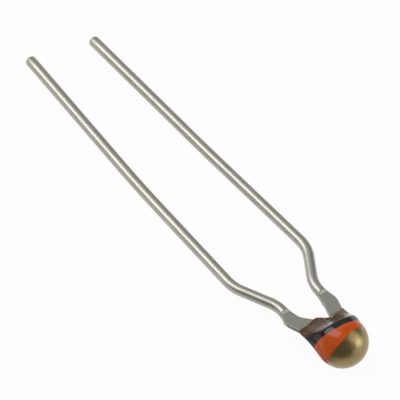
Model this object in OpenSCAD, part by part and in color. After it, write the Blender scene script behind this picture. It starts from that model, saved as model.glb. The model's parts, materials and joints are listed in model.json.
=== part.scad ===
// Bead thermistor on two bare radial wires.
// It lies at rest, on the belly of its bead and on the tips of its wires.
// X runs from the wire tips to the nose of the bead, Y runs across the wires, Z is up.

/* [Wires] */
// Diameter of the tinned wire
wire_d = 0.62; // [0.54:0.01:0.68]
// Distance between the two wires at their outer bends
lead_pitch = 5; // [4.6:0.1:5.4]
// Distance between the two wires where they meet their flattened ends
inner_pitch = 2.5; // [2.4:0.02:2.64]
// Distance from the middle of the bead back to the outer bends
outer_bend_x = 6.6; // [6.2:0.1:7.4]
// Angle at which the short leg of the left wire runs in from its outer bend
left_leg_angle = 26.3; // [22:0.1:32]
// Angle at which the short leg of the right wire runs in from its outer bend
right_leg_angle = 28.5; // [22:0.1:32]
// Radius of the outer bends, to the middle of the wire
outer_bend_r = 2.4; // [1.6:0.1:2.8]
// Radius of the inner bends, to the middle of the wire
inner_bend_r = 2.2; // [1.6:0.1:2.4]
// Length of the left wire from its outer bend to its tip
left_length = 20; // [16:0.1:24]
// Length of the right wire from its outer bend to its tip
right_length = 19.1; // [16:0.1:24]
// Distance from an outer bend to the slight bow in its wire
bow_at = 9; // [6:0.5:12]
// Radius of the slight bow
bow_r = 100; // [60:5:120]
// Angle by which the left wire runs inwards between its outer bend and its bow
left_toe_near = -0.6; // [-1:0.1:2]
// Angle by which the left wire runs inwards beyond its bow
left_toe_far = 1.6; // [0.6:0.1:3]
// Angle by which the right wire runs inwards between its outer bend and its bow
right_toe_near = 3.7; // [3.2:0.1:4]
// Angle by which the right wire runs inwards beyond its bow
right_toe_far = 2.9; // [1.5:0.1:3.1]
// Length over which a cut tip is rounded off
tip_round = 0.12; // [0.06:0.01:0.2]

/* [Flattened ends] */
// Distance from the middle of the bead back to where the press mark starts
press_x = 3.55; // [3.4:0.05:3.7]
// Length of the slope between the round wire and the flat
press_slope = 0.28; // [0.15:0.01:0.4]
// Thickness of the flattened wire
flat_t = 0.25; // [0.2:0.01:0.3]
// Width of the flattened wire
flat_w = 0.87; // [0.8:0.01:1]
// Length over which the flat widens from the wire to its full width
flare = 0.45; // [0.3:0.01:0.6]
// Distance from the middle of the bead back to where the left flat turns inwards
left_turn_x = 2.8; // [2.75:0.01:2.82]
// Angle by which the left flat turns inwards
left_turn = 22; // [20:0.5:25]
// Distance from the middle of the bead back to where the right flat turns inwards
right_turn_x = 2.6; // [2.5:0.01:2.8]
// Angle by which the right flat turns inwards
right_turn = 14; // [12:0.5:16]
// Length of a flat beyond its turn, up to the middle of its round end
tongue = 2.3; // [2.2:0.05:2.4]
// Distance beyond its turn at which the left flat fans out inwards
fan_at = 0.38; // [0.3:0.02:0.5]
// Angle by which the left flat fans out
fan = 23; // [16:0.5:26]
// Distance from the middle of the bead back to where the flats part, one upwards and one downwards
part_x = 1.95; // [1.85:0.05:2.1]
// Distance from the middle of the bead back to where each flat is level with its face of the chip
level_x = 1.2; // [1.2:0.02:1.3]

/* [Chip] */
// Side of the square ceramic chip
chip_w = 1.4; // [1.3:0.05:1.5]
// Thickness of the ceramic chip
chip_t = 0.25; // [0.22:0.01:0.28]
// Distance from the middle of the bead back to the middle of the chip
chip_x = 0.45; // [0.35:0.05:0.5]
// Thickness of the silver film on each face of the chip
film_t = 0.02; // [0.01:0.005:0.04]
// Bare rim of ceramic round each silver film
film_rim = 0.05; // [0.02:0.01:0.12]
// Thickness of the solder between a silver film and a flattened wire
solder_t = 0.04; // [0.03:0.01:0.05]

/* [Bead] */
// Radius of the round nose of the lacquer bead, without the paint
bead_r = 1.42; // [1.38:0.01:1.6]
// Distance by which the bead sits off the middle line of the wires
bead_off = 0.17; // [0:0.01:0.25]
// Length of the bead from its middle back to the start of its rear edge
neck_len = 1.66; // [1.6:0.01:1.75]
// Half the width of the bead at its rear edge
neck_w = 1.49; // [1.45:0.01:1.6]
// Half the thickness of the bead at its rear edge
neck_t = 0.46; // [0.44:0.01:0.5]
// Distance by which the rear edge sits off the middle line of the wires
neck_off = 0.11; // [0.05:0.01:0.15]
// Distance by which the bead leans to the right between its middle and its rear edge
neck_sway = 0.07; // [0:0.01:0.14]
// Power that says how soon the bead gets thin behind its middle, more is later
neck_fall = 3; // [2:0.1:4]
// Power that says how late the bead widens to its rear edge, more is later
neck_flare = 4; // [3:0.5:6]
// Radius of the rounded rear edge
edge_r = 0.3; // [0.2:0.01:0.36]
// Slope of the rear edge, which lies further forward on top than underneath
rear_lean = 30; // [15:1:36]
// Rise of the rear edge from its right end to its left, in each millimetre of width
rear_rise = 0.08; // [0:0.01:0.12]

/* [Paint] */
// Thickness of each coat of paint
paint_t = 0.045; // [0.03:0.005:0.07]
// Place of the edge between brown and black on the bead's axis
black_x = -1.22; // [-1.35:0.01:-1.1]
// Slope of the edge between brown and black, because the part hung askew when it was dipped
black_pitch = 24; // [14:0.5:28]
// Turn of the edge between brown and black
black_turn = 2.5; // [-4:0.5:6]
// Place of the edge between black and orange on the bead's axis
orange_x = -0.67; // [-0.8:0.01:-0.5]
// Slope of the edge between black and orange
orange_pitch = 23; // [12:0.5:26]
// Turn of the edge between black and orange
orange_turn = 2.5; // [-4:0.5:8]
// Place of the edge between orange and gold on the bead's axis
gold_x = 0.36; // [0.25:0.01:0.5]
// Slope of the edge between orange and gold
gold_pitch = 16; // [10:0.5:20]
// Turn of the edge between orange and gold
gold_turn = 15; // [10:0.5:18]

/* [Hidden] */

$fn = 48;
wire_r = wire_d / 2;
// Height of the middle of a flattened end over the middle plane of the chip
flat_z = chip_t / 2 + film_t + solder_t + flat_t / 2;
// Where the slope of the press mark ends, and where the flat has its full width
slope_end_x = press_x - press_slope;
full_x = slope_end_x - flare;
// Space that is taller and wider than the whole bead, for cutting
reach = 4;
// A bend leaves the wire a little thinner, and is let into the stretches at its ends by this length
bend_thinning = 0.01;
bend_lap = 0.08;

// Half the distance between the two wires where they are pressed flat
flat_y = inner_pitch / 2;

// Rings along the nose, along the neck and round the rear edge, and points in each ring
nose_rings = 8;
neck_rings = 10;
edge_rings = 3;
ring_points = 40;

// Reach of a wire's tip behind the middle of the bead
function tip_x(length, toe_near, toe_far) =
    outer_bend_x + bow_at * cos(toe_near) + (length - bow_at) * cos(toe_far);
left_tip_x = tip_x(left_length, left_toe_near, left_toe_far);
right_tip_x = tip_x(right_length, right_toe_near, right_toe_far);
long_tip_x = max(left_tip_x, right_tip_x);

// The part lies on the lowest point of its painted bead and on the longer wire's tip
skin = [for (r = rings(paint_t)) each r];
foot_x = long_tip_x - tip_round;
rest_tilt = max([
    for (p = skin)
        atan2(-p[2], foot_x + p[0]) - asin(wire_r / norm([foot_x + p[0], p[2]]))
]);
rest_height = max([for (p = skin) -p[0] * sin(rest_tilt) - p[2] * cos(rest_tilt)]);

// Tangent length of a bend between two straight stretches
function tangent(radius, turn) = radius * tan(abs(turn) / 2);

// Lays the part down, with the middle of its outline over the origin
module at_rest() {
    translate([(long_tip_x - bead_r - paint_t) / 2, 0, rest_height]) rotate([0, -rest_tilt, 0])
        children();
}

// A straight stretch of wire along X
module straight(length) {
    rotate([0, 90, 0]) cylinder(d = wire_d, h = length);
}

// The last stretch of wire, with its cut tip rounded off
module straight_to_tip(length) {
    dome_r = (wire_r * wire_r + tip_round * tip_round) / (2 * tip_round);
    difference() {
        straight(length);
        translate([length - dome_r, 0, 0]) difference() {
            translate([0, -wire_d, -wire_d]) cube([2 * dome_r, 2 * wire_d, 2 * wire_d]);
            sphere(r = dome_r);
        }
    }
}

// A bend to the right, from the end of a stretch that runs along X, let into the stretches at both ends
module bend(radius, turn) {
    lap_angle = bend_lap / radius * 180 / PI;
    translate([0, -radius, 0]) rotate([0, 0, 90 - turn - lap_angle])
        rotate_extrude(angle = turn + 2 * lap_angle)
            translate([radius, 0]) circle(d = wire_d - bend_thinning);
}

// Runs a wire: a straight stretch, then a bend to the right, then whatever comes next
module run(length, radius, turn) {
    side = turn > 0 ? -1 : 1;
    straight(length);
    translate([length, 0, 0]) {
        if (turn > 0) bend(radius, turn);
        else mirror([0, 1, 0]) bend(radius, -turn);
        translate([radius * sin(abs(turn)), side * radius * (1 - cos(turn)), 0])
            rotate([0, 0, -turn]) children();
    }
}

// The wire of the lead on the +Y side, from inside its flattened end back to its tip
module round_wire(length, leg_angle, toe_near, toe_far) {
    leg_dx = (lead_pitch / 2 - flat_y) / tan(leg_angle);
    leg = (lead_pitch / 2 - flat_y) / sin(leg_angle);
    inner_t = tangent(inner_bend_r, leg_angle);
    outer_t = tangent(outer_bend_r, leg_angle + toe_near);
    bow = toe_near - toe_far;
    bow_t = tangent(bow_r, bow);
    start_x = slope_end_x - wire_r / 2;
    translate([-start_x, flat_y, 0]) rotate([0, 0, 180])
        run(outer_bend_x - leg_dx - start_x - inner_t, inner_bend_r, leg_angle)
        run(leg - inner_t - outer_t, outer_bend_r, -leg_angle - toe_near)
        run(bow_at - outer_t - bow_t, bow_r, bow)
        straight_to_tip(length - bow_at - bow_t);
}

// A stretch of flattened wire along X with a round end, seen from above
module strip(length) {
    translate([0, -flat_w / 2, -reach / 2]) cube([length, flat_w, reach]);
    translate([length, 0, 0]) cylinder(d = flat_w, h = reach, center = true);
}

// Outline of the flattened end on the +Y side, seen from above
module flat_outline(turn_x, turn, fan = 0) {
    translate([0, 0, -reach / 2]) linear_extrude(reach) polygon([
        [-slope_end_x, flat_y - wire_r], [-full_x, flat_y - flat_w / 2], [-turn_x, flat_y - flat_w / 2],
        [-turn_x, flat_y + flat_w / 2], [-full_x, flat_y + flat_w / 2], [-slope_end_x, flat_y + wire_r]
    ]);
    translate([-turn_x, flat_y, 0]) {
        cylinder(d = flat_w, h = reach, center = true);
        rotate([0, 0, -turn]) {
            strip(tongue);
            if (fan > 0) translate([fan_at, 0, 0]) rotate([0, 0, -fan]) strip(tongue - fan_at);
        }
    }
}

// Side view of a lead: open round the wire, then the press slopes, the rise and the level end
module side_profile(level) {
    open_x = press_x + (reach - wire_r) * press_slope / (wire_r - flat_t / 2);
    rotate([90, 0, 0]) translate([0, 0, -reach]) linear_extrude(2 * reach) polygon([
        [-2 * long_tip_x, reach], [-open_x, reach], [-slope_end_x, flat_t / 2],
        [-part_x, flat_t / 2], [-level_x, level + flat_t / 2], [reach, level + flat_t / 2],
        [reach, level - flat_t / 2], [-level_x, level - flat_t / 2], [-part_x, -flat_t / 2],
        [-slope_end_x, -flat_t / 2], [-open_x, -reach], [-2 * long_tip_x, -reach]
    ]);
}

// One lead on the +Y side: a single wire with its end pressed flat to the outline given as its child
module lead(length, leg_angle, toe_near, toe_far, level) {
    intersection() {
        union() {
            round_wire(length, leg_angle, toe_near, toe_far);
            children();
        }
        side_profile(level);
    }
}

// A square plate with its middle on the chip's axis
module plate(side, low, thickness) {
    translate([-chip_x - side / 2, -side / 2, low]) cube([side, side, thickness]);
}

// Solder between a flat on the +Y side and the silver film over which it lies
module solder_pad() {
    intersection() {
        children();
        plate(chip_w - 2 * film_rim, chip_t / 2 + film_t, solder_t);
    }
}

// Eases from 0 to 1 without a kink at either end
function ease(q) = q * q * (3 - 2 * q);
function mix(a, b, q) = a + (b - a) * q;

// One ring of the bead's skin, e being 0 on the round nose and 1 at the rear edge
function ring(x, off, w, t, e) = [
    for (i = [0 : ring_points - 1])
        let (
            a = 360 * i / ring_points,
            y = w * cos(a),
            z = t * sign(sin(a)) * pow(abs(sin(a)), 1 - 0.3 * e) - rear_rise * e * y
        )
        [x + z * tan(rear_lean) * e, off + y, z]
];

// The skin's rings from the nose to the rear edge, grown outwards by the paint on it
function rings(grow) = [
    for (i = [1 : nose_rings])
        let (a = 90 * i / nose_rings, r = bead_r + grow)
        ring(r * cos(a), bead_off, r * sin(a), r * sin(a), 0),
    for (i = [1 : neck_rings])
        let (q = i / neck_rings, e = ease(q), late = pow(q, neck_flare))
        ring(
            -neck_len * q, mix(bead_off, neck_off, late) + neck_sway * (1 - cos(360 * q)) / 2,
            mix(bead_r, neck_w, late) + grow,
            mix(bead_r, neck_t, pow(e, neck_fall)) + grow, e
        ),
    for (i = [1 : edge_rings])
        let (a = 90 * i / edge_rings, in = edge_r * (1 - cos(a)) - grow * cos(a))
        ring(-neck_len - (edge_r + grow) * sin(a), neck_off, neck_w - in, neck_t - in, 1)
];

// The bead as one closed drop, with or without a coat of paint
module drop(grow) {
    all_rings = rings(grow);
    last = len(all_rings) - 1;
    n = ring_points;
    nose = [bead_r + grow, bead_off, 0];
    points = concat([nose], [for (r = all_rings) each r]);
    nose_faces = [for (i = [0 : n - 1]) [0, 1 + (i + 1) % n, 1 + i]];
    side_faces = [
        for (k = [0 : last - 1], i = [0 : n - 1])
            let (a = 1 + k * n + i, b = 1 + k * n + (i + 1) % n)
            each [[a, b + n, a + n], [a, b, b + n]]
    ];
    rear_face = [[for (i = [0 : n - 1]) 1 + last * n + i]];
    polyhedron(points, concat(nose_faces, side_faces, rear_face), convexity = 4);
}

// Everything on the nose side of a paint edge
module nose_side(x, pitch, turn) {
    translate([x, bead_off, 0]) rotate([0, pitch, turn])
        translate([0, -reach, -reach]) cube([2 * reach, 2 * reach, 2 * reach]);
}

// The coat of paint all over the bead, left open where the flattened wires come out
module paint() {
    difference() {
        drop(paint_t);
        drop(0);
        flats();
    }
}

// Both flattened wires, as they lie in the bead
module flats() {
    intersection() {
        mirror([0, 1, 0]) left_outline();
        side_profile(flat_z);
    }
    intersection() {
        right_outline();
        side_profile(-flat_z);
    }
}

module left_outline() flat_outline(left_turn_x, left_turn, fan);
module right_outline() flat_outline(right_turn_x, right_turn);

// The solder on the upper face of the chip, and that on the lower face
module upper_solder() mirror([0, 1, 0]) solder_pad() left_outline();
module lower_solder() mirror([0, 0, 1]) solder_pad() right_outline();

module lead_left() color("#b9b6ab") at_rest() mirror([0, 1, 0])
    lead(left_length, left_leg_angle, left_toe_near, left_toe_far, flat_z) left_outline();

module lead_right() color("#b9b6ab") at_rest()
    lead(right_length, right_leg_angle, right_toe_near, right_toe_far, -flat_z) right_outline();

module ceramic_chip() color("#3b3a3c") at_rest() plate(chip_w, -chip_t / 2, chip_t);

module electrode_top() color("#d6d6d2") at_rest() plate(chip_w - 2 * film_rim, chip_t / 2, film_t);

module electrode_bottom() color("#d6d6d2") at_rest()
    plate(chip_w - 2 * film_rim, -chip_t / 2 - film_t, film_t);

module solder_top() color("#a9abad") at_rest() upper_solder();

module solder_bottom() color("#a9abad") at_rest() lower_solder();

module lacquer_coat() color("#7a6a58") at_rest() difference() {
    drop(0);
    flats();
    plate(chip_w, -chip_t / 2, chip_t);
    plate(chip_w - 2 * film_rim, -chip_t / 2 - film_t, chip_t + 2 * film_t);
    upper_solder();
    lower_solder();
}

module brown_band() color("#6b4f40") at_rest() difference() {
    paint();
    nose_side(black_x, black_pitch, black_turn);
}

module black_band() color("#2a2726") at_rest() difference() {
    intersection() {
        paint();
        nose_side(black_x, black_pitch, black_turn);
    }
    nose_side(orange_x, orange_pitch, orange_turn);
}

module orange_band() color("#c8491d") at_rest() difference() {
    intersection() {
        paint();
        nose_side(orange_x, orange_pitch, orange_turn);
    }
    nose_side(gold_x, gold_pitch, gold_turn);
}

module gold_cap() color("#a58a5a") at_rest() intersection() {
    paint();
    nose_side(gold_x, gold_pitch, gold_turn);
}

lead_left();
lead_right();
ceramic_chip();
electrode_top();
electrode_bottom();
solder_top();
solder_bottom();
lacquer_coat();
brown_band();
black_band();
orange_band();
gold_cap();
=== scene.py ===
# %% [markdown]
# A bead thermistor on two bare wires, dressed for the camera.
# The exact part is loaded first and stays fixed. It gives every place and size. The pieces
# that the eye sees are then modelled round it, smoother and with more detail than the solids.

# %% Load the fixed frame
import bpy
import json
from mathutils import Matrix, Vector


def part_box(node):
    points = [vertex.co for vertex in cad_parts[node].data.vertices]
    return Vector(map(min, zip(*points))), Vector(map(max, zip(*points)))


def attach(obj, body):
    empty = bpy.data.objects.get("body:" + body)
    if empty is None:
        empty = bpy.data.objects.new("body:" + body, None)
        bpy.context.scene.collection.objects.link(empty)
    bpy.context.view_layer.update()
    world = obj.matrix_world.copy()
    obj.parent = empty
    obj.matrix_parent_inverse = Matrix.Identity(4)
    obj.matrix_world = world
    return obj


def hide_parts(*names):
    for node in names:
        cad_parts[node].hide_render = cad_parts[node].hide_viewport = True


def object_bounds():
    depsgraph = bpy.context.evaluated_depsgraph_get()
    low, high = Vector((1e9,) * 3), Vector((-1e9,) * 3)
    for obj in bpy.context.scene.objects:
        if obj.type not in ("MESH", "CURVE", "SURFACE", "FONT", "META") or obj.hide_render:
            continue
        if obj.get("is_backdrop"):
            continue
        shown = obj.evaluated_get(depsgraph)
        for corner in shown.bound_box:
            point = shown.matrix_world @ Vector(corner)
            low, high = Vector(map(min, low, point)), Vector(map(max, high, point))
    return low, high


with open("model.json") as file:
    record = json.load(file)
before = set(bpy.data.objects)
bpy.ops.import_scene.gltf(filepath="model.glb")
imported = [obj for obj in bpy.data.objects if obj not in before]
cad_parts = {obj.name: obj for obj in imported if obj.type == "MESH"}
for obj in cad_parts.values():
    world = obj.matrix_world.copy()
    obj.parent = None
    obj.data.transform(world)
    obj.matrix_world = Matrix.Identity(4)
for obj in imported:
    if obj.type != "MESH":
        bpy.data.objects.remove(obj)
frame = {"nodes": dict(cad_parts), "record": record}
cad_low, cad_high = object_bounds()
print("CAD nodes:", sorted(frame["nodes"]))

# %% The tools of this lesson
import json
import math

import bmesh
import bpy
from mathutils import Matrix, Vector

# %% [markdown]
# The part lies tilted on its bead and on the tip of its longer wire, but a maker would draw it
# level. So each piece is modelled on a level bench, where one unit is one millimetre: the two
# wires lie in the bench's plane, X runs to the nose, and the middle line of the wires is the X
# axis. The frame's two wire mounts both lie in that plane, so they tell how the bench is tilted.

# %% Find the bench in the frame
mm = 0.001
mounts = {m["name"]: m for m in frame["record"]["mounts"]}
left_end, right_end = mounts["left_wire_end"], mounts["right_wire_end"]
bench_up = Vector(right_end["axis"]).cross(Vector(left_end["axis"])).normalized()
if bench_up.z < 0:
    bench_up.negate()
bench_across = bench_up.cross(Vector((1, 0, 0))).normalized()
bench_ahead = bench_across.cross(bench_up)
wire_r = left_end["dims"]["r_mm"]
painted_r = 1.465
nose_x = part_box("gold_cap")[1].x
bench_x = nose_x - painted_r * mm
wire_point = Vector(left_end["pos_m"])
bench_z = wire_point.z - (bench_x - wire_point.x) * bench_up.x / bench_up.z
bench_turn = Matrix((bench_ahead, bench_across, bench_up)).transposed()
bench = Matrix.Translation((bench_x, 0, bench_z)) @ bench_turn.to_4x4() @ Matrix.Scale(mm, 4)
print("bench tilt in degrees:", round(math.degrees(math.asin(bench_up.x)), 3))
print("bench origin in mm:", [round(v / mm, 3) for v in bench.translation])

# %% [markdown]
# Every operator acts on what is selected, so a few small helpers select things by their place.
# lay_down carries a finished piece from the bench to its place in the frame, writes that place
# into its mesh, and lets it ride on the part.

# %% Helpers for selecting and laying down
def nothing_selected():
    if bpy.context.object and bpy.context.object.mode != "OBJECT":
        bpy.ops.object.mode_set(mode="OBJECT")
    bpy.ops.object.select_all(action="DESELECT")


def take(piece):
    nothing_selected()
    piece.select_set(True)
    bpy.context.view_layer.objects.active = piece


def select_where(piece, test):
    """In edit mode, selects the vertices whose place passes the test."""
    edit = bmesh.from_edit_mesh(piece.data)
    for v in edit.verts:
        v.select = test(v.co)
    edit.select_flush_mode()
    edit.select_flush(True)
    bmesh.update_edit_mesh(piece.data)


def outwards(piece, doubles=1e-4):
    take(piece)
    bpy.ops.object.mode_set(mode="EDIT")
    bpy.ops.mesh.select_all(action="SELECT")
    bpy.ops.mesh.remove_doubles(threshold=doubles)
    bpy.ops.mesh.normals_make_consistent(inside=False)
    bpy.ops.object.mode_set(mode="OBJECT")


def lay_down(piece, smooth_angle, slot, *nodes):
    take(piece)
    piece.matrix_world = bench @ piece.matrix_world
    bpy.ops.object.transform_apply(location=True, rotation=True, scale=True)
    bpy.ops.object.shade_smooth_by_angle(angle=math.radians(smooth_angle))
    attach(piece, "root")
    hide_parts(*nodes)
    print(piece.name, "has", len(piece.data.polygons), "faces and stands for", nodes)


# %% [markdown]
# A lead is one tinned copper wire. It was drawn round, bent twice so that the pair widens to the
# pitch of a circuit board, and pressed flat at its inner end. The model follows the same steps: a
# circle is extruded from the tip inwards, spun round each bend, and the last rings are pressed
# between two planes, which pushes their sides out as a press does.

# %% Sizes of the wires, in millimetres
lead_pitch, inner_pitch = 5.0, 2.5
outer_bend_x, outer_bend_r, inner_bend_r = 6.6, 2.4, 2.2
bow_at, bow_r = 9.0, 100.0
press_x, press_slope, flare = 3.55, 0.28, 0.45
flat_half, flat_w, flat_level = 0.125, 0.87, 0.31
flat_bend_r = 0.5
part_x, level_x = 1.85, 1.15
tip_round = 0.20
wires = {
    "left": dict(side=-1, length=20.08, leg=26.3, near=-0.6, far=1.6, turn_x=2.8, turn=22.0, fan=20.0),
    "right": dict(side=1, length=19.28, leg=28.5, near=3.7, far=2.9, turn_x=2.6, turn=14.0, fan=0.0),
}
print("wire diameter:", 2 * wire_r, "and width where it is pressed:", flat_w)


# %% Walk along a wire with extrude and spin
class Walk:
    """A ring of vertices that is led along the wire, with its place, its heading and its road."""

    def __init__(self, piece, x, y, heading):
        self.piece, self.at, self.heading, self.gone = piece, Vector((x, y, 0)), heading, 0.0
        self.road = [(self.at.copy(), heading, 0.0)]

    def ahead(self):
        h = math.radians(self.heading)
        return Vector((math.cos(h), math.sin(h), 0))

    def straight(self, length, steps=1, rise=0.0):
        for _ in range(steps):
            move = self.ahead() * (length / steps) + Vector((0, 0, rise / steps))
            bpy.ops.mesh.extrude_region_move(TRANSFORM_OT_translate={"value": move})
            self.at += move
            self.gone += length / steps
            self.road.append((self.at.copy(), self.heading, self.gone))

    def bend(self, radius, left, steps):
        """Turns left by an angle in degrees, or right if it is negative."""
        side = 1 if left > 0 else -1
        normal = Vector((-self.ahead().y, self.ahead().x, 0)) * side
        centre = self.at + normal * radius
        bpy.ops.mesh.spin(
            steps=steps, angle=-math.radians(left), center=centre, axis=(0, 0, 1), dupli=False
        )
        for _ in range(steps):
            self.heading += left / steps
            self.gone += radius * math.radians(abs(left)) / steps
            new_normal = Vector((-self.ahead().y, self.ahead().x, 0)) * side
            self.at = centre - new_normal * radius
            self.road.append((self.at.copy(), self.heading, self.gone))


def press(walk, half, widen, inner_extra=0.0):
    """Presses the selected ring down to a half thickness, and pushes its sides out."""
    edit = bmesh.from_edit_mesh(walk.piece.data)
    side_way = Vector((-walk.ahead().y, walk.ahead().x, 0))
    for v in [v for v in edit.verts if v.select]:
        up = v.co.z - walk.at.z
        v.co.z = walk.at.z + max(-half, min(half, up))
        out = (v.co - walk.at).dot(side_way)
        if abs(out) > 1e-4:
            push = widen + (inner_extra if out < 0 else 0.0)
            v.co += side_way * math.copysign(push, out)
    bmesh.update_edit_mesh(walk.piece.data)


# %% [markdown]
# Many forms go smoothly from one size to another. mix goes straight from a to b, and ease makes
# the way start and end gently.

# %% Two helpers for smooth changes
def mix(a, b, q):
    return a + (b - a) * q


def ease(q):
    q = max(0.0, min(1.0, q))
    return q * q * (3 - 2 * q)


print("a quarter of the way, eased:", ease(0.25))

# %% [markdown]
# The tip was cut and then dipped in tin, so it is a dome: the first ring is a small one, and each
# further ring is extruded and widened until the wire has its full radius.

# %% Make the round wire of one lead
def round_wire(name, side, length, leg, near, far, turn_x, turn, fan):
    leg_dx = (lead_pitch - inner_pitch) / 2 / math.tan(math.radians(leg))
    leg_length = (lead_pitch - inner_pitch) / 2 / math.sin(math.radians(leg))
    inner_t = inner_bend_r * math.tan(math.radians(leg) / 2)
    outer_t = outer_bend_r * math.tan(math.radians(leg + near) / 2)
    bow_t = bow_r * math.tan(math.radians(abs(near - far)) / 2)
    bow = Vector((-outer_bend_x, lead_pitch / 2, 0)) - bow_at * Vector(
        (math.cos(math.radians(near)), math.sin(math.radians(near)), 0)
    )
    tip = bow - (length - bow_at) * Vector((math.cos(math.radians(far)), math.sin(math.radians(far)), 0))
    nothing_selected()
    bpy.ops.mesh.primitive_circle_add(vertices=48, radius=wire_r, fill_type="NOTHING", location=tip)
    wire = bpy.context.object
    wire.name = name
    bpy.ops.object.transform_apply(location=True)
    bpy.ops.object.mode_set(mode="EDIT")
    bpy.ops.mesh.select_all(action="SELECT")
    dome_r = (wire_r * wire_r + tip_round * tip_round) / (2 * tip_round)
    first = 0.12
    bpy.ops.transform.resize(value=(first, first, first), center_override=tip)
    bpy.ops.transform.rotate(value=math.radians(90), orient_axis="Y", center_override=tip)
    bpy.ops.transform.rotate(value=-math.radians(far), orient_axis="Z", center_override=tip)
    walk = Walk(wire, tip.x, tip.y, far)
    reached, before = first, dome_r - math.sqrt(dome_r**2 - (first * wire_r) ** 2)
    for part in (0.32, 0.52, 0.69, 0.82, 0.91, 0.965, 0.99, 1.0):
        depth = dome_r - math.sqrt(dome_r**2 - (part * wire_r) ** 2)
        walk.straight(depth - before)
        bpy.ops.transform.resize(value=(part / reached,) * 3, center_override=walk.at)
        reached, before = part, depth
    walk.straight(length - bow_at - bow_t - before, 12)
    walk.bend(bow_r, near - far, 3)
    walk.straight(bow_at - outer_t - bow_t, 8)
    walk.bend(outer_bend_r, -leg - near, 14)
    walk.straight(leg_length - inner_t - outer_t, 2)
    walk.bend(inner_bend_r, leg, 14)
    walk.straight(outer_bend_x - leg_dx - press_x - inner_t, 2)
    return walk


# %% [markdown]
# The pressed end starts at a sharp press mark, slopes to the flat, widens to its full width, and
# then turns inwards to the chip. The left one fans out as it turns.

# %% Press the inner end flat
def pressed_end(walk, turn_x, turn, fan):
    half_gain, slope_rings = (flat_w / 2 - wire_r), 9
    walk.press_mark = walk.gone
    for k in range(1, slope_rings + 1):
        walk.straight(press_slope / slope_rings)
        share = ease(k / slope_rings)
        press(walk, wire_r + (flat_half - wire_r) * share, 0.25 * half_gain / slope_rings)
    tangent = flat_bend_r * math.tan(math.radians(turn) / 2)
    flare_rings = 5
    flare_length = min(flare, -walk.at.x - turn_x - tangent - 0.01)
    for k in range(flare_rings):
        walk.straight(flare_length / flare_rings)
        press(walk, flat_half, 0.75 * half_gain / flare_rings)
    walk.straight(-walk.at.x - turn_x - tangent)
    walk.bend(flat_bend_r, -turn, 6)
    steps = 16
    run = (-walk.at.x - level_x) / math.cos(math.radians(walk.heading))
    turned_at = walk.gone - tangent
    for k in range(steps):
        walk.straight(run / steps)
        fanned = max(0.0, min(run / steps, walk.gone - turned_at - 0.29))
        press(walk, flat_half, 0.0, inner_extra=fanned * math.tan(math.radians(fan)))
    walk.straight(0.75, 3)
    for width in (0.88, 0.66, 0.36):
        walk.straight(0.09)
        bpy.ops.transform.resize(value=(width, width, 1), center_override=walk.at)


# %% [markdown]
# A finish such as fine drawing lines runs along the wire and round its bends. So each vertex is
# told where it would lie if the wire were straight again: how far along, and how far to each side.
# A second note says whether it was pressed, because the press left a duller skin. Last, inside the
# bead, one flat is bent up onto the chip and the other down under it.

# %% Close the wire, mirror the left one, and note the straightened place of each vertex
def straightened(walk):
    notes = walk.piece.data.attributes
    notes.new("straightened", "FLOAT_VECTOR", "POINT")
    notes.new("pressed", "FLOAT", "POINT")
    place, pressed = notes["straightened"], notes["pressed"]
    for i, v in enumerate(walk.piece.data.vertices):
        at, heading, gone = min(walk.road, key=lambda r: (v.co.xy - r[0].xy).length_squared)
        h = math.radians(heading)
        off = v.co - at
        along = off.x * math.cos(h) + off.y * math.sin(h)
        place.data[i].vector = (gone + along, off.y * math.cos(h) - off.x * math.sin(h), off.z)
        pressed.data[i].value = ease((gone + along - walk.press_mark + 0.03) / 0.06)


def lead(name, level, values):
    walk = round_wire(name, **values)
    pressed_end(walk, values["turn_x"], values["turn"], values["fan"])
    bpy.ops.mesh.select_all(action="DESELECT")
    bpy.ops.mesh.select_non_manifold()
    bpy.ops.mesh.fill_holes(sides=0)
    bpy.ops.object.mode_set(mode="OBJECT")
    straightened(walk)
    for v in walk.piece.data.vertices:
        v.co.z += level * max(0.0, min(1.0, (v.co.x + part_x) / (part_x - level_x)))
    if values["side"] < 0:
        bpy.ops.object.mode_set(mode="EDIT")
        bpy.ops.mesh.select_all(action="SELECT")
        bpy.ops.transform.mirror(constraint_axis=(False, True, False), center_override=(0, 0, 0))
        bpy.ops.object.mode_set(mode="OBJECT")
    outwards(walk.piece)
    places = [v.co for v in walk.piece.data.vertices]
    for axis in range(2):
        values_there = [c[axis] for c in places]
        print(name, "XY"[axis], round(min(values_there), 3), "to", round(max(values_there), 3))
    return walk.piece


tinned_left = lead("tinned_wire_left", flat_level, wires["left"])
tinned_right = lead("tinned_wire_right", -flat_level, wires["right"])
lay_down(tinned_left, 35, "tinned_wire", "lead_left")
lay_down(tinned_right, 35, "tinned_wire", "lead_right")

# %% [markdown]
# The bead is a drop of lacquer that hung from the two flats while it dried: round at the nose,
# and drawn out to a thin, wide edge at the rear. Half a UV sphere gives the nose. Its open rim is
# then extruded backwards, ring by ring, and each ring takes the width, thickness and lean that
# the drop has there. Each vertex keeps a note of its angle round the axis.

# %% Sizes of the bead, in millimetres
paint_t = 0.045
bead_r, bead_off = painted_r - paint_t, 0.17
neck_len, neck_w, rear_x, rear_t = 1.66, 1.49, 1.925, 0.13
neck_off, neck_sway, neck_flare, neck_fall = 0.11, 0.07, 4, 2.2
corner_r, rear_lean, rear_rise = 0.25, 30.0, 0.08
print("bead radius with its paint:", painted_r, "and length behind its middle:", rear_x + paint_t)


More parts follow.
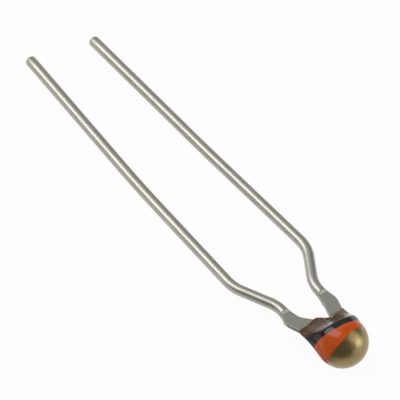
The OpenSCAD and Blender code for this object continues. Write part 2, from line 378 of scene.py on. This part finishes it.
# %% Shape one ring of the drop
def shape_ring(drop, x, off, w, t, e, back=0.0):
    edit = bmesh.from_edit_mesh(drop.data)
    around = edit.verts.layers.float["around"]
    for v in edit.verts:
        if v.select:
            c, s = math.cos(v[around]), math.sin(v[around])
            y, z = w * c, t * math.copysign(abs(s) ** (1 - 0.3 * e), s) - rear_rise * e * w * c
            lean = z * math.tan(math.radians(rear_lean)) * e
            v.co = (x + lean + back * rear_line(off + y), off + y, z)
    bmesh.update_edit_mesh(drop.data)


# %% [markdown]
# The lacquer did not end on a straight line. It crept back along the left flat and the outer side
# of the right one, and left the inner half of the right flat bare. The rear line says how far it
# ends in front of or behind its mean, from the left side to the right.

# %% The rear line of the lacquer
rear_shift = ((-1.49, -0.08), (-0.95, -0.07), (-0.60, -0.12), (-0.34, -0.21), (-0.12, -0.26),
              (0.12, -0.12), (0.36, 0.10), (0.58, 0.25), (0.80, 0.22), (1.02, -0.03), (1.25, -0.13),
              (1.49, -0.18))


def rear_line(y):
    """A smooth mean of the noted shifts, where the near ones count most."""
    weights = [math.exp(-(((y - at) / 0.14) ** 2)) + 1e-9 for at, shift in rear_shift]
    return sum(w * shift for w, (at, shift) in zip(weights, rear_shift)) / sum(weights)


print("the lacquer's edge at the middle is shifted by", round(rear_line(0.0), 3))


# %% Draw the drop out from half a sphere
def drawn_drop(name, grow, segments=128, rings=56):
    nothing_selected()
    bpy.ops.mesh.primitive_uv_sphere_add(
        segments=segments, ring_count=segments // 2, radius=bead_r + grow,
        location=(0, bead_off, 0), rotation=(0, math.radians(90), 0),
    )
    drop = bpy.context.object
    drop.name = name
    bpy.ops.object.transform_apply(location=True, rotation=True)
    bpy.ops.object.mode_set(mode="EDIT")
    select_where(drop, lambda c: c.x < -1e-3)
    bpy.ops.mesh.delete(type="VERT")
    edit = bmesh.from_edit_mesh(drop.data)
    around = edit.verts.layers.float.new("around")
    for v in edit.verts:
        v[around] = math.atan2(v.co.z, v.co.y - bead_off)
    bmesh.update_edit_mesh(drop.data)
    select_where(drop, lambda c: c.x < 1e-3)
    end = rear_x + 2 * grow - paint_t
    for k in range(1, rings + 1):
        # the rings lie closer together towards the rear edge
        d = end * math.sin(math.radians(90 * k / rings))
        late, e = min(d / neck_len, 1.0) ** neck_flare, ease(d / end)
        sway = neck_sway * (1 - math.cos(2 * math.pi * min(d / neck_len, 1.0))) / 2
        w = mix(bead_r, neck_w, late) + grow
        round_off = max(0.0, d - end + corner_r)
        w -= corner_r - math.sqrt(corner_r**2 - round_off**2)
        t = mix(bead_r, rear_t, e**neck_fall) + grow
        bpy.ops.mesh.extrude_region_move(TRANSFORM_OT_translate={"value": (-0.001, 0, 0)})
        shape_ring(drop, -d, mix(bead_off, neck_off, late) + sway, w, t, e, ease((d - 1.3) / 0.6))
    for left in (0.9, 0.6, 0.25):
        bpy.ops.mesh.extrude_region_move(TRANSFORM_OT_translate={"value": (-0.001, 0, 0)})
        shape_ring(drop, -end, neck_off, w - t + t * left, t * left, 1, 1.0)
    bpy.ops.mesh.edge_face_add()
    bpy.ops.object.mode_set(mode="OBJECT")
    return drop


base_coat = drawn_drop("lacquer_bead", 0.0)
whole_drop = drawn_drop("painted_drop", paint_t)
outwards(base_coat)
lay_down(base_coat, 40, "clear_lacquer", "lacquer_coat")
print("the drop has", len(whole_drop.data.polygons), "faces")

# %% [markdown]
# The colour bands were dipped one after another with the bead hanging askew, so their edges are
# nearly flat slices that lean, and they waver a little, as wet paint does. Each coat is a copy of
# the drop cut by bisect. The drop is shifted along X by the waver before the cut and back after
# it, so the cut is straight for the tool but wavers on the bead. Solidify then gives the coat its
# thickness, inwards.

# %% Cut one coat from the drop
paint_edges = {
    "brown_to_black": dict(x=-1.36, pitch=28.0, turn=1.4, waver=((0.016, 3, 0.4), (0.008, 5, 2.1))),
    "black_to_orange": dict(x=-0.54, pitch=20.0, turn=-3.6, waver=((0.010, 4, 1.3), (0.005, 7, 0.2))),
    "orange_to_gold": dict(x=0.305, pitch=14.0, turn=11.5, waver=((0.024, 4, -1.2), (0.006, 7, 1.0))),
}


def waver(drop, edge, way):
    for v in drop.data.vertices:
        angle = math.atan2(v.co.z, v.co.y - bead_off)
        v.co.x += way * sum(h * math.sin(n * angle + start) for h, n, start in edge["waver"])


def cut(drop, edge, keep_nose_side):
    waver(drop, edge, -1)
    take(drop)
    bpy.ops.object.mode_set(mode="EDIT")
    bpy.ops.mesh.select_all(action="SELECT")
    p, t = math.radians(edge["pitch"]), math.radians(edge["turn"])
    bpy.ops.mesh.bisect(
        plane_co=(edge["x"], bead_off, 0),
        plane_no=(math.cos(t) * math.cos(p), math.sin(t) * math.cos(p), -math.sin(p)),
        threshold=1e-5, clear_inner=keep_nose_side, clear_outer=not keep_nose_side,
    )
    bpy.ops.object.mode_set(mode="OBJECT")
    waver(drop, edge, 1)


def coat(name, rear_edge, nose_edge, slot, node):
    take(whole_drop)
    bpy.ops.object.duplicate()
    piece = bpy.context.object
    piece.name = name
    if rear_edge:
        cut(piece, paint_edges[rear_edge], True)
    if nose_edge:
        cut(piece, paint_edges[nose_edge], False)
    outwards(piece, 1e-5)
    wall = piece.modifiers.new("wall", "SOLIDIFY")
    wall.thickness, wall.offset, wall.use_even_offset = paint_t, -1, True
    bpy.ops.object.modifier_apply(modifier=wall.name)
    lay_down(piece, 40, slot, node)
    return piece


brown_coat = coat("brown_coat", None, "brown_to_black", "brown_paint", "brown_band")
black_coat = coat("black_coat", "brown_to_black", "black_to_orange", "black_paint", "black_band")
orange_coat = coat("orange_coat", "black_to_orange", "orange_to_gold", "orange_paint", "orange_band")
gold_coat = coat("gold_coat", "orange_to_gold", None, "gold_paint", "gold_cap")
bpy.data.objects.remove(whole_drop)

# %% [markdown]
# Materials come next. Each is one Principled shader whose colour, roughness and bump are led by
# noise. The patterns read the piece's own coordinates, scaled so that one unit is a millimetre.

# %% Helpers for the materials
class Finish:
    """A material with one Principled shader and the nodes that lead into it."""

    def __init__(self, name, **sockets):
        self.material = bpy.data.materials.new(name)
        self.material.use_nodes = True
        self.tree = self.material.node_tree
        self.shader = self.tree.nodes["Principled BSDF"]
        for socket, value in sockets.items():
            self.shader.inputs[socket.replace("_", " ")].default_value = value

    def node(self, kind, **values):
        made = self.tree.nodes.new(kind)
        for name, value in values.items():
            setattr(made, name, value)
        return made

    def join(self, source, target):
        self.tree.links.new(source, target)

    def place(self, stretch=(1, 1, 1), attribute=None):
        """Coordinates in millimetres, stretched if asked, from the object or from a note on it."""
        mapping = self.node("ShaderNodeMapping")
        if attribute:
            source = self.node("ShaderNodeAttribute", attribute_name=attribute).outputs["Vector"]
            unit = 1.0
        else:
            source = self.node("ShaderNodeTexCoord").outputs["Object"]
            unit = 1 / mm
        mapping.inputs["Scale"].default_value = [unit * s for s in stretch]
        self.join(source, mapping.inputs["Vector"])
        return mapping.outputs["Vector"]

    def noise(self, where, scale, detail=3.0, rough=0.5):
        made = self.node("ShaderNodeTexNoise")
        made.inputs["Scale"].default_value = scale
        made.inputs["Detail"].default_value = detail
        made.inputs["Roughness"].default_value = rough
        self.join(where, made.inputs["Vector"])
        return made.outputs["Fac"]

    def ramp(self, fac, *stops):
        """Leads a value through a ramp of (place, colour) stops."""
        made = self.node("ShaderNodeValToRGB")
        ramp = made.color_ramp
        while len(ramp.elements) < len(stops):
            ramp.elements.new(0.5)
        for element, (at, colour) in zip(ramp.elements, stops):
            element.position = at
            element.color = (*colour, 1) if len(colour) == 3 else colour
        self.join(fac, made.inputs["Fac"])
        return made.outputs["Color"]

    def between(self, fac, low, high):
        made = self.node("ShaderNodeMapRange")
        made.inputs["To Min"].default_value = low
        made.inputs["To Max"].default_value = high
        self.join(fac, made.inputs["Value"])
        return made.outputs["Result"]

    def blend_values(self, fac, low, high):
        made = self.node("ShaderNodeMix", data_type="FLOAT")
        self.join(fac, made.inputs["Factor"])
        self.join(low, made.inputs[2])
        self.join(high, made.inputs[3])
        return made.outputs[0]

    def blend_colours(self, fac, low, high):
        made = self.node("ShaderNodeMix", data_type="RGBA")
        self.join(fac, made.inputs["Factor"])
        self.join(low, made.inputs[6])
        self.join(high, made.inputs[7])
        return made.outputs[2]

    def bump(self, height, depth_mm, strength=1.0):
        made = self.node("ShaderNodeBump")
        made.inputs["Distance"].default_value = depth_mm * mm
        made.inputs["Strength"].default_value = strength
        self.join(height, made.inputs["Height"])
        self.join(made.outputs["Normal"], self.shader.inputs["Normal"])

    def on(self, *objects):
        for o in objects:
            o.data.materials.clear()
            o.data.materials.append(self.material)
        print(self.material.name, "is on", [o.name for o in objects])


def srgb(r, g, b):
    """A colour as a picture shows it, from 0 to 255, made linear for the shader."""
    return tuple(((v / 255 + 0.055) / 1.055) ** 2.4 if v > 10 else v / 255 / 12.92 for v in (r, g, b))


# %% [markdown]
# The wire is copper with a bright coat of tin. Tin is a warm grey metal, a little dull, with fine
# lines along the wire from drawing it and faint cloudy patches. The lines are noise stretched
# along the straightened wire, so they follow each bend.

# %% Tinned wire
tin = Finish("tinned_wire", Metallic=1.0)
along = tin.place((0.25, 7, 7), attribute="straightened")
clouds_at = tin.place((1, 1, 1), attribute="straightened")
lines = tin.noise(along, 3.0, 4, 0.6)
clouds = tin.noise(clouds_at, 1.3, 4, 0.6)
grain = tin.noise(clouds_at, 16.0, 5, 0.65)
pressed = tin.node("ShaderNodeAttribute", attribute_name="pressed").outputs["Fac"]
bright = tin.ramp(clouds, (0.3, (0.40, 0.388, 0.345)), (0.7, (0.445, 0.433, 0.385)))
dull = tin.ramp(grain, (0.3, (0.33, 0.325, 0.285)), (0.7, (0.40, 0.39, 0.345)))
tin.join(tin.blend_colours(pressed, bright, dull), tin.shader.inputs["Base Color"])
gloss = tin.blend_values(pressed, tin.between(lines, 0.39, 0.43), tin.between(grain, 0.36, 0.48))
tin.join(gloss, tin.shader.inputs["Roughness"])
tin.bump(tin.blend_values(pressed, lines, grain), 0.0003)
tin.on(tinned_left, tinned_right)

# %% [markdown]
# The paints are glossy lacquers. Each has a little mottling, a soft change of gloss, and the very
# shallow waves that a dipped coat keeps. The black and the brown are thin, so they look warmer in
# some patches.

# %% Brown, black and orange paint
def lacquer(name, low, high, roughness, waves_mm, **sockets):
    paint = Finish(name, **sockets)
    here = paint.place()
    mottling = paint.noise(here, 1.6, 5, 0.6)
    paint.join(paint.ramp(mottling, (0.35, low), (0.68, high)), paint.shader.inputs["Base Color"])
    gloss = paint.noise(here, 2.4, 3, 0.5)
    paint.join(paint.between(gloss, *roughness), paint.shader.inputs["Roughness"])
    waves = paint.noise(here, 1.1, 2, 0.4)
    paint.bump(waves, waves_mm)
    return paint


brown_paint = lacquer("brown_paint", srgb(62, 43, 30), srgb(98, 71, 51), (0.16, 0.27), 0.012, Specular_IOR_Level=0.2)
brown_paint.on(brown_coat)
black_paint = lacquer("black_paint", srgb(5, 5, 4), srgb(14, 13, 11), (0.06, 0.11), 0.012, Specular_IOR_Level=0.43)
black_paint.on(black_coat)
orange_paint = lacquer("orange_paint", srgb(168, 67, 18), srgb(184, 77, 24), (0.08, 0.14), 0.012, Specular_IOR_Level=0.27)
orange_paint.on(orange_coat)

# %% [markdown]
# The gold paint holds fine metal flakes in a clear varnish. A metallic shader with flake-sized
# cells in its colour and its roughness gives the glint, and a clear coat gives the varnish.

# %% Gold paint
gold_paint = Finish("gold_paint", Metallic=1.0, Coat_Weight=0.5, Coat_Roughness=0.22)
here = gold_paint.place()
flakes = gold_paint.node("ShaderNodeTexVoronoi")
flakes.inputs["Scale"].default_value = 34.0
gold_paint.join(here, flakes.inputs["Vector"])
gold_paint.join(
    gold_paint.ramp(flakes.outputs["Color"], (0.15, srgb(128, 107, 63)), (0.85, srgb(158, 136, 86))),
    gold_paint.shader.inputs["Base Color"],
)
gold_paint.join(gold_paint.between(gold_paint.noise(here, 3, 3), 0.34, 0.44), gold_paint.shader.inputs["Roughness"])
gold_paint.bump(gold_paint.noise(here, 14, 3, 0.6), 0.004)
gold_paint.on(gold_coat)

# %% [markdown]
# The parts inside the bead keep their exact CAD shape. They are seen only when the bead is taken
# apart, and each still gets the finish it has: sintered metal-oxide ceramic, fired silver, solder,
# and the amber base lacquer.

# %% Ceramic, silver, solder and base lacquer
ceramic = Finish("ceramic", Roughness=0.75)
here = ceramic.place()
grains = ceramic.noise(here, 22, 6, 0.7)
ceramic.join(ceramic.ramp(grains, (0.35, (0.035, 0.034, 0.036)), (0.7, (0.085, 0.082, 0.085))), ceramic.shader.inputs["Base Color"])
ceramic.bump(grains, 0.006)
ceramic.on(frame["nodes"]["ceramic_chip"])

silver_film = Finish("silver_film", Metallic=1.0)
here = silver_film.place()
frit = silver_film.noise(here, 30, 5, 0.6)
silver_film.join(silver_film.ramp(frit, (0.3, (0.62, 0.61, 0.58)), (0.7, (0.78, 0.77, 0.74))), silver_film.shader.inputs["Base Color"])
silver_film.join(silver_film.between(frit, 0.35, 0.6), silver_film.shader.inputs["Roughness"])
silver_film.bump(frit, 0.003)
silver_film.on(frame["nodes"]["electrode_top"], frame["nodes"]["electrode_bottom"])

solder = Finish("solder", Metallic=1.0)
here = solder.place()
flow = solder.noise(here, 6, 4, 0.5)
solder.join(solder.ramp(flow, (0.3, (0.44, 0.45, 0.46)), (0.7, (0.58, 0.58, 0.58))), solder.shader.inputs["Base Color"])
solder.join(solder.between(flow, 0.22, 0.4), solder.shader.inputs["Roughness"])
solder.bump(flow, 0.006)
solder.on(frame["nodes"]["solder_top"], frame["nodes"]["solder_bottom"])

base_lacquer = lacquer("clear_lacquer", srgb(120, 88, 50), srgb(150, 114, 70), (0.12, 0.25), 0.01)
base_lacquer.on(base_coat)

# %% [markdown]
# The studio is a wide pale table under one large soft box, with a small low lamp ahead of the
# part. The table is matt and keeps a soft shadow, but it shows as white to the camera and in
# reflections, as a lit table in a photograph does.

# %% The table
nothing_selected()
bpy.ops.mesh.primitive_plane_add(size=4)
table = bpy.context.object
table.name = "table"
table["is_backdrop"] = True
matt = Finish("table_white", Roughness=0.9)
matt.shader.inputs["Specular IOR Level"].default_value = 0.2
matt.shader.inputs["Base Color"].default_value = (0.66, 0.66, 0.66, 1)
rays = matt.node("ShaderNodeLightPath")
camera_or_glossy = matt.node("ShaderNodeMath", operation="MAXIMUM")
any_seen = matt.node("ShaderNodeMath", operation="MAXIMUM")
share = matt.node("ShaderNodeMath", operation="MULTIPLY")
share.inputs[1].default_value = 0.95
matt.join(rays.outputs["Is Camera Ray"], camera_or_glossy.inputs[0])
matt.join(rays.outputs["Is Glossy Ray"], camera_or_glossy.inputs[1])
matt.join(camera_or_glossy.outputs[0], any_seen.inputs[0])
matt.join(rays.outputs["Is Transmission Ray"], any_seen.inputs[1])
matt.join(any_seen.outputs[0], share.inputs[0])
white = matt.node("ShaderNodeEmission")
blend = matt.node("ShaderNodeMixShader")
matt.join(share.outputs[0], blend.inputs["Fac"])
matt.join(matt.shader.outputs["BSDF"], blend.inputs[1])
matt.join(white.outputs["Emission"], blend.inputs[2])
matt.join(blend.outputs["Shader"], matt.tree.nodes["Material Output"].inputs["Surface"])
matt.on(table)

# %% [markdown]
# The world stands for the room. The camera sees it white. It lights matt surfaces with one plain
# level. What reflects sees it white at the horizon too, and above that a room that is dim overhead
# and on the camera's side, and lighter high up behind the wires' tips.

# %% The room
room = bpy.data.worlds.new("room")
bpy.context.scene.world = room
room.use_nodes = True
tree = room.node_tree
tree.nodes.clear()
new, link = tree.nodes.new, tree.links.new
rays, out = new("ShaderNodeLightPath"), new("ShaderNodeOutputWorld")
direction, split = new("ShaderNodeTexCoord"), new("ShaderNodeSeparateXYZ")
link(direction.outputs["Generated"], split.inputs["Vector"])


def room_ramp(output, *stops):
    made = new("ShaderNodeValToRGB")
    for element, (at, level) in zip(made.color_ramp.elements, stops):
        element.position, element.color = at, (level, level, level, 1)
    link(output, made.inputs["Fac"])
    return made.outputs["Color"]


def room_shade(colour, strength):
    made = new("ShaderNodeBackground")
    if hasattr(colour, "is_output"):
        link(colour, made.inputs["Color"])
    else:
        made.inputs["Color"].default_value = (*colour, 1)
    made.inputs["Strength"].default_value = strength
    return made.outputs["Background"]


def room_mix(fac, low, high):
    made = new("ShaderNodeMixShader")
    link(fac, made.inputs["Fac"])
    link(low, made.inputs[1])
    link(high, made.inputs[2])
    return made.outputs["Shader"]


over_horizon = room_ramp(split.outputs["Z"], (0.02, 1.0), (0.17, 0.11))
backwards = new("ShaderNodeMath")
backwards.operation = "MULTIPLY"
backwards.inputs[1].default_value = -1.0
link(split.outputs["X"], backwards.inputs[0])
behind = room_ramp(backwards.outputs["Value"], (0.12, 0.11), (0.5, 0.66))
high_up = room_ramp(split.outputs["Z"], (0.15, 0.35), (0.6, 1.0))
wall = new("ShaderNodeMix")
wall.data_type, wall.blend_type = "RGBA", "MULTIPLY"
wall.inputs["Factor"].default_value = 1.0
link(behind, wall.inputs["A"])
link(high_up, wall.inputs["B"])
lightest = new("ShaderNodeMix")
lightest.data_type, lightest.blend_type = "RGBA", "LIGHTEN"
lightest.inputs["Factor"].default_value = 1.0
link(over_horizon, lightest.inputs["A"])
link(wall.outputs["Result"], lightest.inputs["B"])
white, reflected = room_shade((1, 1, 1), 1.0), room_shade(lightest.outputs["Result"], 1.0)
lit = room_shade((1, 1, 1), 0.48)
seen = new("ShaderNodeMath")
seen.operation = "MAXIMUM"
link(rays.outputs["Is Camera Ray"], seen.inputs[0])
link(rays.outputs["Is Transmission Ray"], seen.inputs[1])
shade = room_mix(rays.outputs["Is Glossy Ray"], lit, reflected)
link(room_mix(seen.outputs["Value"], shade, white), out.inputs["Surface"])
print("the room lights matt surfaces at 0.48")


# %% [markdown]
# A long, narrow soft box hangs over the part, and a small lamp stands low ahead of it on the
# right. A dark card stands in front of the nose on the camera's side, as a photographer sets one
# to give a shiny round thing a dark side. Two grey cards on the table before the bead and under
# it are painted shade: they put into its reflections the shadow that the bead would cast there,
# which dims what its underside reflects. Only reflections see the cards.

# %% Soft lamps and cards
def faces_bead(thing, towards, distance, long_way):
    """Puts a thing in a direction given on the bench, facing the bead, its X along long_way."""
    way = (bench_turn @ Vector(towards)).normalized()
    up = way.cross(bench_turn @ Vector(long_way)).normalized()
    thing.matrix_world = Matrix.Translation(bench @ Vector((0, bead_off, 0)) + way * distance) @ Matrix(
        (up.cross(way), up, way)
    ).transposed().to_4x4()
    print(thing.name, "stands at", [round(v, 3) for v in thing.matrix_world.translation])


def soft_lamp(name, towards, distance, long_way, width, height, level, colour=(1, 1, 1)):
    data = bpy.data.lights.new(name, "AREA")
    data.shape, data.size, data.size_y = "RECTANGLE", width, height
    data.energy = level * width * height * 4
    data.color = colour
    lamp = bpy.data.objects.new(name, data)
    bpy.context.collection.objects.link(lamp)
    lamp.visible_camera = False
    faces_bead(lamp, towards, distance, long_way)
    return lamp


soft_lamp("soft_box", (-0.43, -0.41, 0.80), 0.4, (0.83, 0.18, 0.57), 0.50, 0.22, 2.4)
soft_lamp("low_lamp", (0.70, 0.68, 0.20), 0.30, (-0.65, 0.76, 0), 0.15, 0.12, 3.2, (0.92, 0.98, 1.12))
soft_lamp("side_box", (0.50, 0.55, 0.66), 0.35, (-0.59, 0.81, 0), 0.30, 0.26, 1.0)


def card(name, centre, across, upwards, width, height, tone):
    """A matt card that only reflections see. Its place is in millimetres from the bead's foot."""
    nothing_selected()
    bpy.ops.mesh.primitive_plane_add(size=1)
    made = bpy.context.object
    made.name = name
    made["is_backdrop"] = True
    across, upwards = Vector(across).normalized(), Vector(upwards).normalized()
    made.matrix_world = Matrix.Translation(Vector((bench_x, 0, 0)) + Vector(centre) * mm) @ Matrix(
        (across, upwards, across.cross(upwards))
    ).transposed().to_4x4() @ Matrix.Diagonal((width * mm, height * mm, 1, 1))
    made.visible_camera = made.visible_diffuse = made.visible_shadow = made.visible_transmission = False
    paper = Finish(name + "_paper", Roughness=1.0)
    paper.shader.inputs["Base Color"].default_value = (*tone, 1)
    paper.on(made)


card("dark_card", (2.5, -3.65, 2.8), (0.83, 0.56, 0), (0, 0, 1), 18, 5.6, (0.25, 0.26, 0.25))
# the two grey cards are painted shade: the bead's own shadow on the table, as its underside reflects it
card("painted_shade_card", (-0.7, -3.4, 0.02), (1, 0, 0), (0, 1, 0), 4.6, 3.0, (0.40, 0.40, 0.40))
card("painted_shadow_card", (-1.5, -0.8, 0.02), (1, 0, 0), (0, 1, 0), 3.2, 2.0, (0.32, 0.32, 0.32))

# %% [markdown]
# The photograph was taken from far away with a long lens, from the right of the nose and at about
# fifty degrees. The camera's three directions are given on the bench and turned into the frame.

# %% The camera
right = bench_turn @ Vector((0.5736, 0.8192, 0.0))
up = bench_turn @ Vector((-0.6266, 0.4387, 0.6441))
back = bench_turn @ Vector((0.5276, -0.3695, 0.7649))
data = bpy.data.cameras.new("camera")
data.sensor_width, data.lens = 36.0, 1467.9
data.clip_start, data.clip_end = 0.05, 20.0
camera = bpy.data.objects.new("camera", data)
bpy.context.collection.objects.link(camera)
looked_at = bench @ Vector((-12.760, -0.360, 0.0))
camera.matrix_world = Matrix.Translation(looked_at + back * 0.9) @ Matrix(
    (right, up, back)
).transposed().to_4x4()
bpy.context.scene.camera = camera
bpy.context.scene.view_settings.view_transform = "Standard"
print("camera at", [round(v, 4) for v in camera.matrix_world.translation])

# %% Print the sizes and finish
low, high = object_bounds()
sizes = {
    "cad": [list(map(float, cad_low)), list(map(float, cad_high))],
    "visual": [list(map(float, low)), list(map(float, high))],
}
for name, (a, b) in sizes.items():
    print(name, "box in mm:", [round(v / mm, 3) for v in a], "to", [round(v / mm, 3) for v in b])
